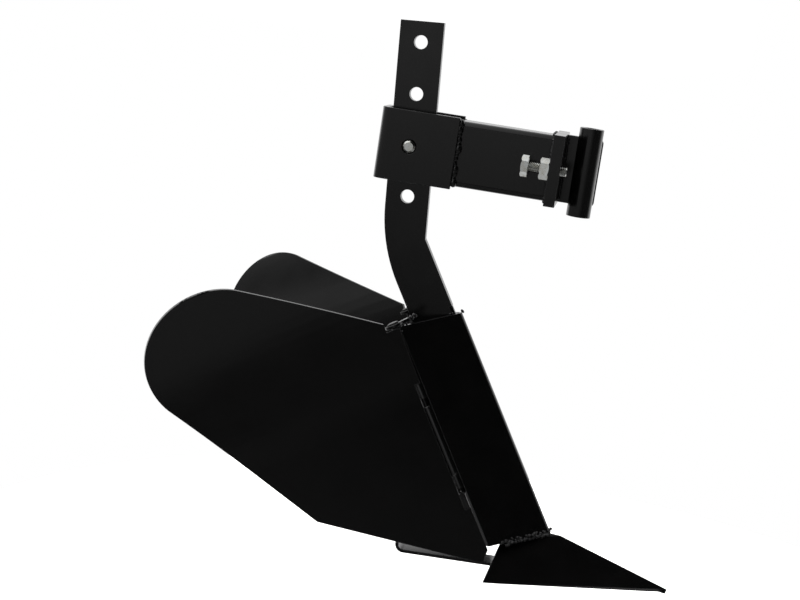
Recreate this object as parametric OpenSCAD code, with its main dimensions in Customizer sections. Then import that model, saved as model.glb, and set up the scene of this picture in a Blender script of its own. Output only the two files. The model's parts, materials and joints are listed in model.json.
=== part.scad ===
// Walk behind ridger: a hitch arm, a bent shank and a V nose that carries two hinged wings.
// +X points forward, +Y to the left and +Z up. The origin is the middle of the pivot tube.

/* [Hitch] */
// Outer diameter of the pivot tube
pivot_od = 22; // [18:0.5:30]
// Bore of the pivot tube
pivot_bore = 14.1; // [10:0.1:16]
// Length of the pivot tube
pivot_len = 81; // [60:1:100]
// Thickness of the cheek plate welded along the pivot tube
cheek_t = 8; // [5:0.5:12]
// Height of the cheek plate
cheek_h = 62; // [50:1:68]
// Reach of the cheek plate past the pivot axis
cheek_reach = 12; // [8:0.5:16]
// Corner radius of the cheek plate
cheek_r = 4; // [1:0.5:8]
// Distance from the pivot axis back to the flange
flange_back = 21; // [18:0.5:30]
// Thickness of the hitch flange
flange_t = 10; // [6:0.5:14]
// Width of the hitch flange
flange_w = 92; // [84:1:110]
// Height of the hitch flange
flange_h = 64; // [62:1:80]

/* [Drawbar arm] */
// Height of the rectangular tube
arm_h = 60; // [50:1:64]
// Width of the rectangular tube
arm_w = 40; // [34:1:50]
// Wall of the rectangular tube
arm_wall = 3.5; // [2:0.5:5]
// Outer corner radius of the rectangular tube
arm_r = 5; // [4:0.5:8]
// Length of the rectangular tube behind the flange
arm_len = 104.5; // [70:0.5:160]
// Leg of the fillet welds
weld_leg = 4; // [2:0.5:6]
// Leg of the fillets between the arm and the flange
arm_leg = 2; // [1:0.5:4]

/* [Shank sleeve] */
// Thickness of the sleeve strap
sleeve_t = 5; // [4:0.5:8]
// Height of the sleeve strap
sleeve_h = 65; // [62:1:76]
// Outer bend radius of the sleeve strap
sleeve_r = 9; // [8.5:0.5:14]
// Clear length of the pocket that holds the shank
pocket_len = 49; // [48:0.5:60]
// Length of strap that laps over the arm
sleeve_lap = 18; // [12:1:40]
// Hole in the sleeve for the depth bolt
sleeve_hole = 13; // [12.6:0.1:14]
// Outer diameter of the bosses that centre the shank
boss_od = 24; // [18:1:32]

/* [Bolts] */
// Diameter of the depth bolt
depth_d = 12; // [10:0.5:12]
// Width across flats of the depth bolt head and nut
depth_af = 18; // [16:0.5:24]
// Height of the depth bolt head
depth_head = 7.5; // [5:0.5:10]
// Height of the weld nut of the depth bolt
depth_nut_h = 10; // [6:0.5:12]
// Length of the depth bolt tip past the right wall
depth_proud = 2; // [0.5:0.5:10]
// Diameter of the adjuster bolts
adjuster_d = 10; // [8:0.5:12]
// Width across flats of the adjuster heads and lock nuts
adjuster_af = 17; // [15:0.5:20]
// Height of the adjuster heads
adjuster_head = 6.5; // [5:0.5:8]
// Length of the adjuster bolts under the head
adjuster_len = 35; // [33:1:60]
// Length of the adjuster tip in front of the flange
adjuster_proud = 5.7; // [1:0.1:9]
// Distance of an adjuster bolt from the mid-plane
adjuster_y = 33; // [30:0.5:36]
// Height of a lock nut
lock_nut_h = 9; // [6:0.2:11]
// Diameter of the clamp bolt that holds the wing stays
clamp_d = 8; // [6:0.5:9]
// Width across flats of the clamp bolt head and nut
clamp_af = 13; // [12:0.5:17]
// Height of the clamp bolt head
clamp_head = 5.3; // [4:0.1:8]
// Height of the clamp nut
clamp_nut_h = 6.8; // [5:0.1:9]
// Outer diameter of the clamp washer
clamp_washer_od = 22; // [18:1:28]
// Thickness of the clamp washer
clamp_washer_t = 2; // [1:0.1:3]

/* [Shank] */
// Width of the flat bar, front to rear
shank_w = 40; // [34:1:40]
// Thickness of the flat bar
shank_t = 10; // [6:0.5:14]
// Backward lean of the upper bar, in degrees
shank_lean = 3.6; // [0:0.1:5]
// Forward bend of the lower bar, in degrees
shank_bend = 27.2; // [20:0.1:32]
// Height of the top end above the depth bolt
shank_rise = 113; // [105:1:160]
// Distance of the front kink below the depth bolt
shank_kink = 84.8; // [70:0.1:120]
// Radius of the rear edge through the bend
shank_sweep = 155; // [60:1:180]
// Length of the lower bar below the kink
shank_low = 177; // [120:1:200]
// Diameter of the depth holes
shank_hole = 12.6; // [12.4:0.1:14]
// Pitch of the depth holes
shank_pitch = 47; // [40:0.5:50]

/* [Nose] */
// Length of the nose along its corner
nose_len = 222.4; // [200:0.2:240]
// Leg of the V section, from the sharp corner
nose_leg = 74; // [66:0.5:84]
// Thickness of the V plate
nose_t = 4; // [3:0.5:5]
// Outer radius of the V corner
nose_r = 6; // [5.5:0.5:10]
// Slope of both end cuts from square, in degrees
nose_cut = 15; // [5:0.5:20]
// Angle of the lower end of the nose to a square cut, in degrees
foot_cut = 20; // [5:0.5:25]
// Distance of the nose top below the kink, along the lower bar
nose_drop = 76.6; // [60:0.2:90]
// Distance of the shank front edge behind the V corner
nose_nest = 8.1; // [7.8:0.1:14]

/* [Share] */
// Length of the ridge in front of the nose
share_ridge = 110.8; // [80:0.1:140]
// Distance of the ridge start in front of the nose corner
share_lead = 7.2; // [4:0.1:12]
// Downward slope of the ridge, in degrees
share_slope = 17.1; // [14:0.1:22]
// Tilt of each side plate about the ridge, in degrees
share_tilt = 36.6; // [30:0.1:42]
// Length of the side plates behind the ridge start
share_back = 48; // [30:0.5:56]
// Width of a side plate, down from the ridge
share_width = 89.8; // [70:0.2:100]
// Width of the part of a side plate that lies under the nose
share_tuck = 32.6; // [20:0.2:50]
// Thickness of the side plates
share_t = 5; // [3:0.5:7]
// Height of the end of the ridge above the flat underside of the share
share_edge = 4.2; // [1:0.1:7]

/* [Heel bracket] */
// Thickness of the heel strap
heel_t = 3; // [2:0.5:6]
// Width of the heel strap
heel_w = 26; // [22:1:36]
// Distance from the pivot axis back to the upright of the strap
heel_back = 118.5; // [110:0.5:130]
// Inner radius of the bends in the strap
heel_r = 5; // [3:0.5:10]
// Length of the strap in front of the upright
heel_len = 230; // [150:1:240]
// Distance of the lowest line of the strap below the underside of the share
heel_drop = 3.9; // [1:0.1:8]
// Upward slope of the strap from the upright to the front, in degrees
heel_rise = 2.1; // [0:0.1:4]
// Distance of the tab below the nose top, along the nose
tab_drop = 140; // [130:1:150]
// Length of the tab in front of the upright
tab_len = 38; // [32:1:44]
// Distance of the clamp bolt from the end of the tab
tab_margin = 15; // [12:0.5:18]

/* [Hinges] */
// Distance of the hinge axis behind the edge of the nose
hinge_back = 5.3; // [4.5:0.1:8]
// Distance of the hinge axis inside the edge of the nose
hinge_in = 3.5; // [3:0.1:5]
// Outer diameter of the hinge barrels and eyes
hinge_od = 11; // [10:0.5:14]
// Diameter of the hinge pins
hinge_pin_d = 6; // [4:0.5:6.5]
// Distance of the upper eye below the nose top
eye_drop = 40.3; // [36:0.5:50]
// Length of an upper eye
eye_upper = 14.3; // [10:0.1:20]
// Length of a lower eye
eye_lower = 13.3; // [10:0.1:20]
// Length of a hinge barrel
barrel_len = 67; // [50:1:90]
// Length of bare pin between an upper eye and its barrel
barrel_gap = 8; // [0.3:0.1:12]
// Radius of the top lugs about the hinge axis
lug_r = 8.5; // [7:0.5:16]
// Thickness of the top lugs
lug_t = 3; // [2:0.5:6]
// Diameter of the hinge pin heads
pin_head_d = 10.5; // [9:0.5:16]
// Height of the hinge pin heads
pin_head_h = 2; // [1:0.5:6]
// Length of the hinge pins below the lower eyes
pin_tail = 6; // [5:0.5:10]
// Wire diameter of the split pins
split_d = 2; // [1.5:0.1:2.5]
// Length of the split pins
split_len = 18; // [14:1:24]
// Length of a split pin past the outer side of its hinge pin
split_proud = 2; // [1:0.1:2.2]

/* [Wings] */
// Thickness of the wing plates
wing_t = 3; // [2:0.5:4]
// Outward angle of a wing at rest, in degrees
wing_angle = 21; // [18:0.5:24]
// Radius to which the upper wing is rolled outward
wing_roll = 324; // [250:1:400]
// Distance of the roll start below the nose top
wing_flat = 55.3; // [50:0.1:60]
// Distance of the round end from the hinge axis
wing_reach = 161; // [130:0.5:190]
// Radius of the round end
wing_round = 63; // [50:0.5:72]
// Height of the round end above the nose top
wing_rise = 57.3; // [40:0.1:70]
// Height of the front top corner above the nose top
wing_top = 13.7; // [10:0.1:18]
// Distance of the lower corner from the hinge axis
wing_corner = 132.6; // [110:0.1:150]
// Distance of the lower corner below the nose top
wing_corner_drop = 117.7; // [100:0.1:130]
// Distance of the front edge end below the nose top
wing_front_drop = 205; // [190:0.5:210]
// Distance of the bottom point below the nose top
wing_foot_drop = 214; // [208:0.5:222]
// Distance of the bottom point from the hinge axis
wing_foot = 8; // [5:0.5:14]
// Distance of the front edge ahead of the hinge axis
wing_lead = 1.5; // [0.5:0.1:1.8]
// Distance of the hinge notch behind the hinge axis
notch_in = 4; // [3:0.1:6]
// Length of the hinge notch below the lower eye
notch_tail = 20; // [8:1:30]
// Clear radius round the top lug where the wing corner is cut down
corner_cut = 11; // [9:0.5:24]

/* [Stays] */
// Thickness of the wing stays
stay_t = 4; // [3:0.5:5]
// Distance of the front root of a stay from the hinge axis
stay_front = 12; // [10:0.5:18]
// Length of the root of a stay along the wing
stay_root = 52; // [40:1:60]
// Width of plate left outside the slot
stay_rim = 7; // [5:0.5:10]
// Half the swing that the slot allows, in degrees
stay_swing = 9; // [8.5:0.5:12]
// Half the spread of the slotted end, in degrees
stay_spread = 17; // [16:0.5:20]

/* [Hidden] */
$fn = 96;

right = -1;
left = 1;
// Gap between pieces that are welded together
weld_gap = 0.05;
// Gap between pieces that move past each other
run_gap = 0.3;
// Diametral play of a pin in its eye
pin_play = 0.1;
// Diametral play of a bolt in a thread or a plain hole
thread_play = 0.4;
// Diametral play of the clamp bolt in a slot
slot_play = 1;
// Room round the eyes and barrels where another body passes
eye_gap = 0.6;
// Stand of the round end past its tangents, so that they cross cleanly
round_lip = 0.1;
// Stand of the rolled sheet past the flat one, and the lap between them
roll_lip = 0.05;
roll_lap = 1;
// Flats in each bend of the heel strap
bend_steps = 16;
// Height of a bolt tip chamfer
tip_chamfer = 1;
// Length by which every cut passes the face it opens
overrun = 1;

flange_rear = -flange_back - flange_t;
arm_end = flange_rear - arm_len;
bolt_x = arm_end - pocket_len / 2;
sleeve_half = arm_w / 2 + sleeve_t;
sleeve_rear = arm_end - pocket_len - sleeve_t;
sleeve_len = sleeve_t + pocket_len + sleeve_lap;
boss_len = arm_w / 2 - shank_t / 2 - run_gap;

// Lower bar, nose and hinges share one slope
rake = shank_lean + shank_bend;
kink_x = bolt_x + shank_kink * sin(shank_lean) + shank_w / 2 * cos(shank_lean);
kink_z = -shank_kink * cos(shank_lean) + shank_w / 2 * sin(shank_lean);
nose_x = kink_x + nose_drop * sin(rake) + nose_nest * cos(rake);
nose_z = kink_z - nose_drop * cos(rake) + nose_nest * sin(rake);
nose_half = nose_leg * cos(45);
nose_top = (nose_half + nose_t * cos(45)) * tan(nose_cut);
foot_x = nose_x + nose_len * sin(rake);
foot_z = nose_z - nose_len * cos(rake);
// A span longer than the nose, for cuts that take a whole side away
cut_span = 2 * nose_len;

share_x = foot_x + share_lead;
share_z = foot_z - share_lead * tan(share_slope) - 2 * weld_gap;
share_low = share_z - share_ridge * sin(share_slope) - share_edge;
ground_z = share_low - heel_drop;

hinge_x = -nose_half - hinge_back;
hinge_y = nose_half - hinge_in;
wing_off = hinge_back * sin(wing_angle) + hinge_in * cos(wing_angle);
eye_top = -eye_drop;
barrel_top = eye_top - eye_upper - barrel_gap;
barrel_low = barrel_top - barrel_len;
eye_low = barrel_low - run_gap - eye_lower;
lug_z = nose_top + weld_gap;
pin_top = lug_z + lug_t;
pin_low = eye_low - pin_tail;
split_z = pin_low + pin_tail / 2;

// The tab of the heel bracket lies square to the hinge axes
upright_x = -heel_back;
tab_x = (upright_x - nose_x - tab_drop * sin(rake)) / cos(rake);
clamp_x = tab_x + tab_len - tab_margin;
clamp_reach = norm([clamp_x - hinge_x, hinge_y]);
clamp_turn = atan2(-hinge_y, hinge_x - clamp_x);
stay_turn = clamp_turn - wing_angle;
stay_right_z = -tab_drop + run_gap;
stay_left_z = stay_right_z + stay_t + run_gap;
washer_z = stay_left_z + stay_t + run_gap;
upright_top_z = nose_z + tab_x * sin(rake) - tab_drop * cos(rake);

// Wing sheet: angle of the roll at the round end, and heights seen square to the sheet there
rise_turn = (wing_rise + wing_flat) / wing_roll * 180 / PI;
rise_y = wing_roll * (1 - cos(rise_turn));
rise_z = wing_roll * sin(rise_turn) - wing_flat;

function flat_view(z) = (z - rise_z) * cos(rise_turn) - rise_y * sin(rise_turn);
function roll_view(z) = wing_roll * sin((z + wing_flat) / wing_roll * 180 / PI - rise_turn);
// Direction in which the line from p touches the round end, on the side that side names
function touch_turn(p, side) =
    let (d = p - wing_eye)
    atan2(d[1], d[0]) + side * acos(wing_round / norm(d));

// Corners of the wing in that view, and the peak where its two tangents would meet
wing_eye = [wing_reach, 0];
wing_front = [-wing_lead, roll_view(wing_top)];
wing_heel = [wing_corner, flat_view(-wing_corner_drop)];
upper_turn = touch_turn(wing_front, -1) + 360;
lower_turn = touch_turn(wing_heel, 1);
peak_turn = (upper_turn + lower_turn) / 2;
wing_peak = wing_eye + wing_round / cos((upper_turn - lower_turn) / 2) * [cos(peak_turn), sin(peak_turn)];

// Ring along +Z
module ring(od, id, h) {
    difference() {
        cylinder(d = od, h = h);
        translate([0, 0, -overrun]) cylinder(d = id, h = h + 2 * overrun);
    }
}

// Hexagonal prism along +Z, sized across its flats
module hex(af, h) {
    cylinder(d = af / cos(30), h = h, $fn = 6);
}

module hex_nut(af, d, h) {
    difference() {
        hex(af, h);
        translate([0, 0, -overrun]) cylinder(d = d + thread_play, h = h + 2 * overrun);
    }
}

// Hexagon bolt: tip at the origin, shank along +Z, head beyond
module hex_bolt(d, len, af, head) {
    cylinder(d1 = d - 2 * tip_chamfer, d2 = d, h = tip_chamfer);
    translate([0, 0, tip_chamfer]) cylinder(d = d, h = len - tip_chamfer);
    translate([0, 0, len]) hex(af, head);
}

// Rectangle with round corners, centred
module round_rect(w, h, r) {
    square([w - 2 * r, h], center = true);
    square([w, h - 2 * r], center = true);
    for (sx = [-1, 1], sy = [-1, 1])
        translate([sx * (w / 2 - r), sy * (h / 2 - r)]) circle(r = r);
}

// Strip from x = 0 to len, whose two corners at len are round
module round_end(len, h, r) {
    translate([0, -h / 2]) square([len - r, h]);
    translate([0, r - h / 2]) square([len, h - 2 * r]);
    for (s = [-1, 1])
        translate([len - r, s * (h / 2 - r)]) circle(r = r);
}

// Triangular fillet weld along +Z, its square corner at the origin
module fillet(leg, len) {
    linear_extrude(len) polygon([[0, 0], [leg, 0], [0, leg]]);
}

// Frame of the nose: origin at the top of its corner, +Z up along the corner, +X square to it
module nose_frame() {
    translate([nose_x, 0, nose_z]) rotate([0, -rake, 0]) children();
}

// Frame of the share: origin at the start of the ridge, +X down the ridge, +Y down one side plate
module share_frame(side) {
    translate([share_x, 0, share_z])
        rotate([0, share_slope, 0])
            mirror([0, (1 - side) / 2, 0])
                rotate([-share_tilt, 0, 0]) children();
}

// Frame of a hinge: origin on its axis at the height of the nose top
module hinge_frame(side) {
    nose_frame() translate([hinge_x, side * hinge_y, 0]) children();
}

// Frame of a wing: +X rearward in the plate, +Y outward, drawn for the right and mirrored for the left
module wing_frame(side) {
    nose_frame()
        mirror([0, (1 + side) / 2, 0])
            translate([hinge_x, -hinge_y, 0]) rotate([0, 0, 180 + wing_angle]) children();
}

// Axis along +Y through the depth bolt
module depth_axis(y) {
    translate([bolt_x, y, 0]) rotate([-90, 0, 0]) children();
}

// Hitch and arm

module pivot_tube() {
    color("#2a2a2c")
        translate([0, 0, -pivot_len / 2]) ring(pivot_od, pivot_bore, pivot_len);
}

module cheek_plate() {
    color("#1c1c1e")
        translate([-flange_back, pivot_od / 2 + weld_gap + cheek_t, 0])
            rotate([90, 0, 0])
                linear_extrude(cheek_t) round_end(flange_back + cheek_reach, cheek_h, cheek_r);
}

module hitch_flange() {
    color("#1c1c1e")
        difference() {
            translate([flange_rear, -flange_w / 2, -flange_h / 2]) cube([flange_t, flange_w, flange_h]);
            for (side = [right, left])
                translate([flange_rear - overrun, side * adjuster_y, 0])
                    rotate([0, 90, 0])
                        cylinder(d = adjuster_d + thread_play, h = flange_t + 2 * overrun);
        }
}

module drawbar_arm() {
    color("#2a2a2c")
        translate([arm_end, 0, 0])
            rotate([90, 0, 90])
                linear_extrude(arm_len)
                    difference() {
                        round_rect(arm_w, arm_h, arm_r);
                        round_rect(arm_w - 2 * arm_wall, arm_h - 2 * arm_wall, arm_r - arm_wall);
                    }
}

// Fillets above and below the arm, against the flange
module arm_weld() {
    run = arm_w - 2 * arm_r;
    color("#343438")
        for (side = [0, 1])
            mirror([0, 0, side])
                translate([flange_rear, run / 2, arm_h / 2])
                    rotate([90, -90, 0]) fillet(arm_leg, run);
}

module shank_sleeve() {
    color("#2e2e30")
        difference() {
            translate([sleeve_rear + sleeve_len, 0, -sleeve_h / 2])
                mirror([1, 0, 0])
                    linear_extrude(sleeve_h)
                        difference() {
                            round_end(sleeve_len, 2 * sleeve_half, sleeve_r);
                            translate([-overrun, 0])
                                round_end(sleeve_len - sleeve_t + overrun, arm_w, sleeve_r - sleeve_t);
                        }
            depth_axis(-sleeve_half - overrun)
                cylinder(d = sleeve_hole, h = 2 * sleeve_half + 2 * overrun);
        }
}

// Fillets at the two front ends of the strap, against the sides of the arm
module sleeve_weld() {
    run = arm_h - 2 * arm_r;
    color("#343438")
        for (side = [0, 1])
            mirror([0, side, 0])
                translate([sleeve_rear + sleeve_len, arm_w / 2, -run / 2]) fillet(weld_leg, run);
}

module depth_nut() {
    color("#b9b9b4")
        depth_axis(sleeve_half) hex_nut(depth_af, depth_d, depth_nut_h);
}

module guide_boss(side) {
    color("#2a2a2c")
        depth_axis(side > 0 ? shank_t / 2 + run_gap : -arm_w / 2)
            ring(boss_od, sleeve_hole, boss_len);
}

module guide_boss_right() { guide_boss(right); }
module guide_boss_left() { guide_boss(left); }

module lock_nut(side) {
    color("#b9b9b4")
        translate([flange_rear - lock_nut_h, side * adjuster_y, 0])
            rotate([0, 90, 0]) hex_nut(adjuster_af, adjuster_d, lock_nut_h);
}

module lock_nut_right() { lock_nut(right); }
module lock_nut_left() { lock_nut(left); }

module adjuster_bolt(side) {
    color("#b9b9b4")
        translate([adjuster_proud - flange_back, side * adjuster_y, 0])
            rotate([0, -90, 0]) hex_bolt(adjuster_d, adjuster_len, adjuster_af, adjuster_head);
}

module adjuster_bolt_right() { adjuster_bolt(right); }
module adjuster_bolt_left() { adjuster_bolt(left); }

module depth_bolt() {
    grip = depth_proud + 2 * sleeve_half + depth_nut_h + run_gap;
    color("#b9b9b4")
        depth_axis(-sleeve_half - depth_proud) hex_bolt(depth_d, grip, depth_af, depth_head);
}

// Shank, nose and share

// Side outline of the bar, about the depth bolt: a kink in front and a long sweep behind
module shank_outline() {
    half = shank_w / 2;
    down = [sin(shank_bend), -cos(shank_bend)];
    back = [-cos(shank_bend), -sin(shank_bend)];
    kink = [half, -shank_kink];
    toe = kink + shank_low * down;
    corner = [-half, -shank_kink - shank_w * tan(shank_bend / 2)];
    tangent = shank_sweep * tan(shank_bend / 2);
    start = corner + [0, tangent];
    difference() {
        polygon([[half, shank_rise], kink, toe, toe + shank_w * back, corner, [-half, shank_rise]]);
        difference() {
            polygon([start, corner, corner + tangent * down]);
            translate(start + [shank_sweep, 0]) circle(r = shank_sweep, $fn = 360);
        }
    }
}

// Space ahead of the inner faces of the V, which the front edge of the bar leaves free
module nose_core() {
    tip = -(nose_t + weld_gap) / cos(45);
    translate([0, 0, -nose_len])
        linear_extrude(nose_len + shank_t)
            polygon([
                [tip, 0], [tip - shank_t, shank_t], [0, shank_t],
                [0, -shank_t], [tip - shank_t, -shank_t]
            ]);
}

module shank() {
    color("#262628")
        difference() {
            translate([bolt_x, 0, 0])
                rotate([0, -shank_lean, 0])
                    difference() {
                        rotate([90, 0, 0]) linear_extrude(shank_t, center = true) shank_outline();
                        for (i = [-1:2])
                            translate([0, 0, i * shank_pitch])
                                rotate([90, 0, 0])
                                    cylinder(d = shank_hole, h = shank_t + 2 * overrun, center = true);
                    }
            nose_frame() nose_core();
        }
}

// V with sharp inner and round outer corner
module nose_section() {
    inset = nose_t * cos(45);
    bend = nose_r * cos(45);
    difference() {
        polygon([
            [0, 0], [-nose_half, nose_half], [-nose_half - inset, nose_half - inset], [-2 * inset, 0],
            [-nose_half - inset, inset - nose_half], [-nose_half, -nose_half]
        ]);
        difference() {
            polygon([[overrun, 0], [-bend, bend + overrun], [-bend, -bend - overrun]]);
            translate([-2 * bend, 0]) circle(r = nose_r);
            polygon([[-bend, 0], [-2 * bend, 2 * bend], [-bend, bend]]);
            polygon([[-bend, 0], [-2 * bend, -2 * bend], [-bend, -bend]]);
        }
    }
}

module nose() {
    color("#161618")
        nose_frame()
            difference() {
                translate([0, 0, -nose_len - nose_half])
                    linear_extrude(nose_len + 2 * nose_half) nose_section();
                rotate([0, nose_cut, 0])
                    translate([-cut_span / 2, -cut_span / 2, 0]) cube([cut_span, cut_span, cut_span]);
                translate([0, 0, -nose_len])
                    rotate([0, foot_cut, 0])
                        translate([-cut_span / 2, -cut_span / 2, -cut_span])
                            cube([cut_span, cut_span, cut_span]);
                for (side = [right, left])
                    translate([hinge_x, side * hinge_y, 0]) {
                        translate([0, 0, barrel_low])
                            cylinder(d = hinge_od + 2 * weld_gap, h = barrel_len);
                        translate([0, 0, pin_low - eye_gap])
                            cylinder(d = hinge_pin_d + 2 * eye_gap, h = pin_top - pin_low);
                        translate([0, 0, eye_top - eye_upper - run_gap])
                            cylinder(d = hinge_od + 2 * eye_gap, h = eye_upper + 2 * run_gap);
                        translate([0, 0, eye_low - run_gap])
                            cylinder(d = hinge_od + 2 * eye_gap, h = eye_lower + 2 * run_gap);
                    }
            }
}

// Two side plates that meet at the ridge, cut flat underneath and where the nose stands on them
module share() {
    color("#161618")
        difference() {
            for (side = [right, left])
                share_frame(side)
                    translate([0, 0, -share_t])
                        linear_extrude(share_t)
                            polygon([
                                [0, 0], [share_ridge, 0],
                                [-share_back, share_width], [-share_back, share_tuck]
                            ]);
            translate([-cut_span, -cut_span / 2, share_low - cut_span])
                cube([2 * cut_span, cut_span, cut_span]);
            nose_frame()
                translate([0, 0, -nose_len - weld_gap])
                    rotate([0, foot_cut, 0])
                        translate([-cut_span / 2, -cut_span / 2, 0]) cube([cut_span, cut_span, cut_span]);
        }
}

// Points of an arc about c, from one direction to another
function bend_arc(c, r, from, to) = [
    for (i = [0:bend_steps])
        let (turn = from + (to - from) * i / bend_steps)
        c + r * [cos(turn), sin(turn)]
];

// Strap in side view: heel, upright, then a tab square to the hinge axes
module heel_strap() {
    outer = heel_r + heel_t;
    tab_turn = 90 - rake;
    tab_bend = outer * tan(tab_turn / 2);
    low_bend = [upright_x + outer, ground_z + outer];
    high_bend = [upright_x + outer, upright_top_z - tab_bend];
    along = [cos(rake), sin(rake)];
    square_up = [-sin(rake), cos(rake)];
    tab_end = high_bend + (tab_len - tab_bend) * along;
    heel_end = low_bend + (heel_len - outer) * [cos(heel_rise), sin(heel_rise)];
    square_down = [sin(heel_rise), -cos(heel_rise)];
    rotate([90, 0, 0])
        linear_extrude(heel_w, center = true)
            polygon(concat(
                [heel_end + outer * square_down],
                bend_arc(low_bend, outer, 270 + heel_rise, 180),
                bend_arc(high_bend, outer, 180, 180 - tab_turn),
                [tab_end + outer * square_up, tab_end + heel_r * square_up],
                bend_arc(high_bend, heel_r, 180 - tab_turn, 180),
                bend_arc(low_bend, heel_r, 180, 270 + heel_rise),
                [heel_end + heel_r * square_down]
            ));
}

module heel_bracket() {
    color("#1c1c1e")
        difference() {
            heel_strap();
            for (side = [right, left])
                share_frame(side)
                    translate([-share_back, -share_width, -share_t - weld_gap])
                        cube([cut_span, cut_span, cut_span]);
            nose_frame()
                translate([clamp_x, 0, -tab_drop - heel_t - overrun])
                    cylinder(d = clamp_d + thread_play, h = heel_t + 2 * overrun);
        }
}

// Hinges and stays

// Round tongue on top of the nose edge, drawn for the left and mirrored for the right
module top_lug(side) {
    color("#202022")
        nose_frame()
            mirror([0, (1 - side) / 2, 0])
                translate([0, 0, lug_z])
                    linear_extrude(lug_t)
                        difference() {
                            union() {
                                translate([hinge_x, hinge_y]) circle(r = lug_r);
                                rotate(135)
                                    translate([nose_leg - 2 * lug_r, 0]) square([2 * lug_r, lug_r]);
                            }
                            translate([hinge_x, hinge_y]) circle(d = hinge_pin_d + pin_play);
                        }
}

module top_lug_right() { top_lug(right); }
module top_lug_left() { top_lug(left); }

module hinge_barrel(side) {
    color("#242426")
        hinge_frame(side)
            translate([0, 0, barrel_low]) ring(hinge_od, hinge_pin_d + pin_play, barrel_len);
}

module hinge_barrel_right() { hinge_barrel(right); }
module hinge_barrel_left() { hinge_barrel(left); }

module hinge_pin(side) {
    color("#202022")
        hinge_frame(side)
            difference() {
                union() {
                    translate([0, 0, pin_low]) cylinder(d = hinge_pin_d, h = pin_top - pin_low);
                    translate([0, 0, pin_top]) cylinder(d = pin_head_d, h = pin_head_h);
                }
                translate([0, 0, split_z])
                    rotate([90, 0, 0])
                        cylinder(d = split_d + thread_play, h = hinge_pin_d + 2 * overrun, center = true);
            }
}

module hinge_pin_right() { hinge_pin(right); }
module hinge_pin_left() { hinge_pin(left); }

// Straight wire through the pin, with a round eye at its inner end
module split_pin(side) {
    outer = hinge_pin_d / 2 + split_proud;
    color("#b9b9b4")
        hinge_frame(side)
            translate([0, 0, split_z])
                rotate([side * 90, 0, 0]) {
                    translate([0, 0, -outer]) cylinder(d = split_d, h = split_len);
                    translate([0, 0, split_len - outer + split_d])
                        rotate([90, 0, 0])
                            rotate_extrude() translate([split_d, 0]) circle(d = split_d, $fn = 24);
                }
}

module split_pin_right() { split_pin(right); }
module split_pin_left() { split_pin(left); }

module clamp_bolt() {
    grip = washer_z + clamp_washer_t + clamp_nut_h + tip_chamfer * 2 + tab_drop + heel_t;
    color("#b9b9b4")
        nose_frame()
            translate([clamp_x, 0, grip - tab_drop - heel_t])
                mirror([0, 0, 1]) hex_bolt(clamp_d, grip, clamp_af, clamp_head);
}

module clamp_washer() {
    color("#b9b9b4")
        nose_frame()
            translate([clamp_x, 0, washer_z]) ring(clamp_washer_od, clamp_d + thread_play, clamp_washer_t);
}

module clamp_nut() {
    color("#b9b9b4")
        nose_frame()
            translate([clamp_x, 0, washer_z + clamp_washer_t]) hex_nut(clamp_af, clamp_d, clamp_nut_h);
}

// Frame that looks square on to the round end, +Y up the sheet
module round_frame() {
    translate([0, wing_off + rise_y, rise_z]) rotate([90 - rise_turn, 0, 0]) children();
}

// Outline of the plate with its tangents run on to a peak, cut through both sheets
module wing_prism() {
    round_frame()
        linear_extrude(cut_span / 2, center = true)
            polygon([
                wing_front, wing_peak, wing_heel,
                [wing_foot, flat_view(-wing_foot_drop)], [-wing_lead, flat_view(-wing_front_drop)]
            ]);
}

// What lies between the round end and the peak
module wing_trim() {
    reach = 2 * wing_round;
    round_frame()
        difference() {
            linear_extrude(cut_span / 3, center = true)
                polygon([
                    wing_eye, wing_eye + reach * [cos(upper_turn), sin(upper_turn)],
                    wing_peak + reach * [cos(peak_turn), sin(peak_turn)],
                    wing_eye + reach * [cos(lower_turn), sin(lower_turn)]
                ]);
            translate(wing_eye) cylinder(r = wing_round + round_lip, h = cut_span / 2, center = true);
        }
}

// Sheet below the roll start, with room all round the outline
module flat_sheet() {
    low = wing_foot_drop + hinge_od;
    translate([-wing_round, wing_off - wing_t / 2, -low])
        cube([wing_reach + 3 * wing_round, wing_t, low - wing_flat + roll_lap]);
}

// Sheet above the roll start, rolled outward about an axis outside the wing
module rolled_sheet() {
    turn = (wing_flat + wing_rise + wing_round + hinge_od) / wing_roll * 180 / PI;
    sheet = wing_t + 2 * roll_lip;
    translate([-wing_round, wing_off + wing_roll, -wing_flat])
        rotate([0, 90, 0])
            rotate([0, 0, 270 - turn])
                rotate_extrude(angle = turn, $fn = 360)
                    translate([wing_roll - sheet / 2, 0]) square([sheet, wing_reach + 3 * wing_round]);
}

module wing(side) {
    notch_top = eye_top + run_gap;
    notch_low = eye_low - notch_tail;
    color("#242426")
        wing_frame(side)
            difference() {
                intersection() {
                    union() {
                        flat_sheet();
                        rolled_sheet();
                    }
                    wing_prism();
                }
                wing_trim();
                translate([notch_in - hinge_od, -hinge_od, notch_low])
                    cube([hinge_od, 3 * hinge_od, notch_top - notch_low]);
                translate([corner_cut - wing_round, -wing_round, lug_z - eye_gap])
                    cube([wing_round, 2 * wing_round, lug_t + pin_head_h + wing_rise]);
                translate([0, 0, notch_low])
                    cylinder(d = hinge_od + 2 * weld_gap, h = notch_top - notch_low);
                translate([0, 0, barrel_low - run_gap])
                    cylinder(d = hinge_od + 2 * eye_gap, h = barrel_len + 2 * run_gap);
            }
}

module wing_right() { wing(right); }
module wing_left() { wing(left); }

module wing_eyes(side) {
    color("#242426")
        wing_frame(side) {
            translate([0, 0, eye_top - eye_upper]) ring(hinge_od, hinge_pin_d + pin_play, eye_upper);
            translate([0, 0, eye_low]) ring(hinge_od, hinge_pin_d + pin_play, eye_lower);
        }
}

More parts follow.
